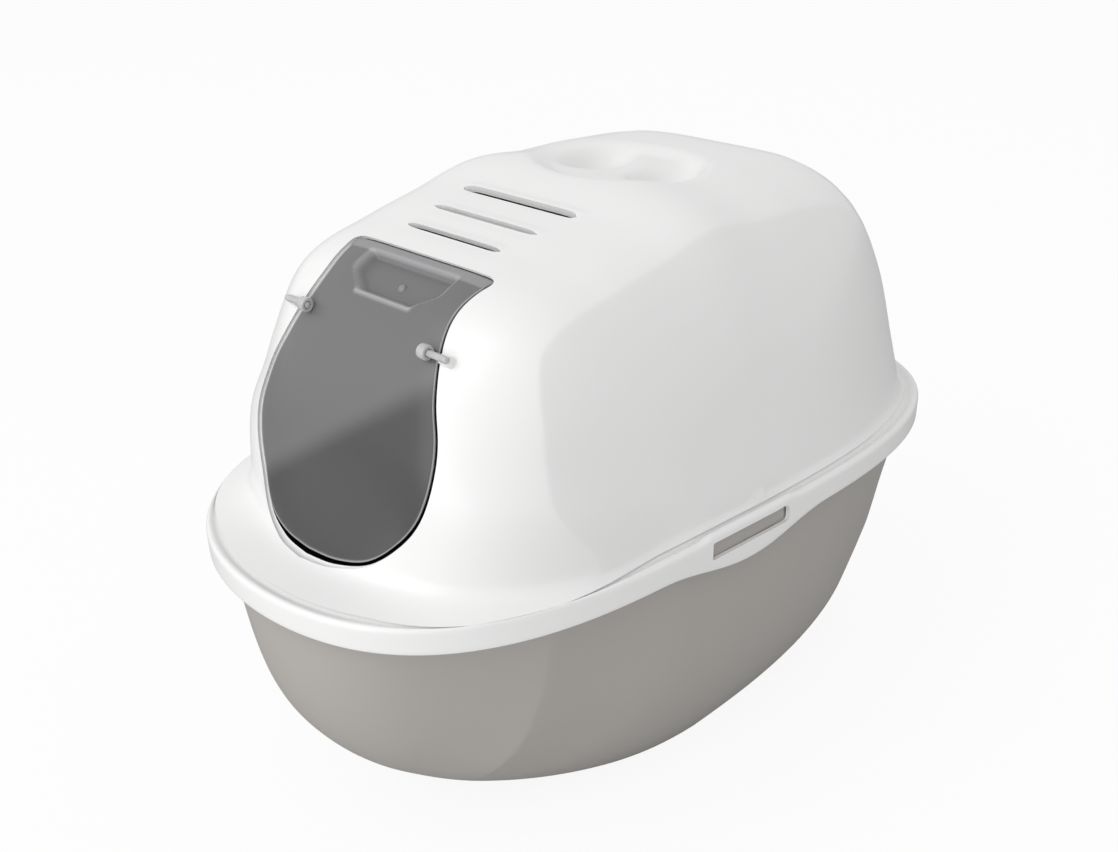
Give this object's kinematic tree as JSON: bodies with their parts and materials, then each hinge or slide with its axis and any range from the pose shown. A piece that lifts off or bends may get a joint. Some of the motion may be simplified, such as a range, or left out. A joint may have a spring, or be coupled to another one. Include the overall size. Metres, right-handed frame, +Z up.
{
  "type": "hooded cat litter box",
  "caption": "Hooded pet litter box: deep tray, lift-off hood with front swing flap, roof handle, vents and press-in side latches.",
  "frame": {"origin": "middle of the footprint of the whole box, on the ground plane", "axes": "+X to the right seen from the front, front with the flap faces -Y, +Z up"},
  "size_m": [0.3484, 0.538, 0.39],
  "materials": {
    "tray_plastic": "fine satin, taupe",
    "hood_plastic": "satin white",
    "flap_plastic": "smoky see-through",
    "pin_plastic": "clear to grey",
    "cover_plastic": "satin",
    "carbon": "carbon felt"
  },
  "bodies": {
    "tray": {"tray": "tray_plastic"},
    "hood": {"hood": "hood_plastic", "handle_well": "hood_plastic", "hinge_pin_left": "pin_plastic", "hinge_pin_right": "pin_plastic"},
    "flap": {"flap_door": "flap_plastic"},
    "latch_left": {"side_latch_left": "tray_plastic"},
    "latch_right": {"side_latch_right": "tray_plastic"},
    "filter": {"filter_cover": "cover_plastic", "carbon_filter": "carbon"}
  },
  "joints": [
    {"name": "hood_lift", "type": "slide", "parent": "tray", "child": "hood", "axis": [0, 0, 1], "range_m": [0, 0.25]},
    {"name": "flap_swing", "type": "hinge", "parent": "hood", "child": "flap", "pos_m": [0, -0.17522, 0.33629], "axis": [1, 0, 0], "range_deg": [-70, 75]},
    {"name": "latch_left_press", "type": "hinge", "parent": "tray", "child": "latch_left", "pos_m": [-0.16139, -0.01948, 0.18516], "axis": [-0.0989, 0.9951, 0], "range_deg": [0, 8], "stiffness_Nm_per_rad": 0.3},
    {"name": "latch_right_press", "type": "hinge", "parent": "tray", "child": "latch_right", "pos_m": [0.16139, -0.01948, 0.18516], "axis": [-0.0989, -0.9951, 0], "range_deg": [0, 8], "stiffness_Nm_per_rad": 0.3},
    {"name": "filter_slide", "type": "slide", "parent": "hood", "child": "filter", "axis": [0, 1, 0], "range_m": [0, 0.055]}
  ]
}
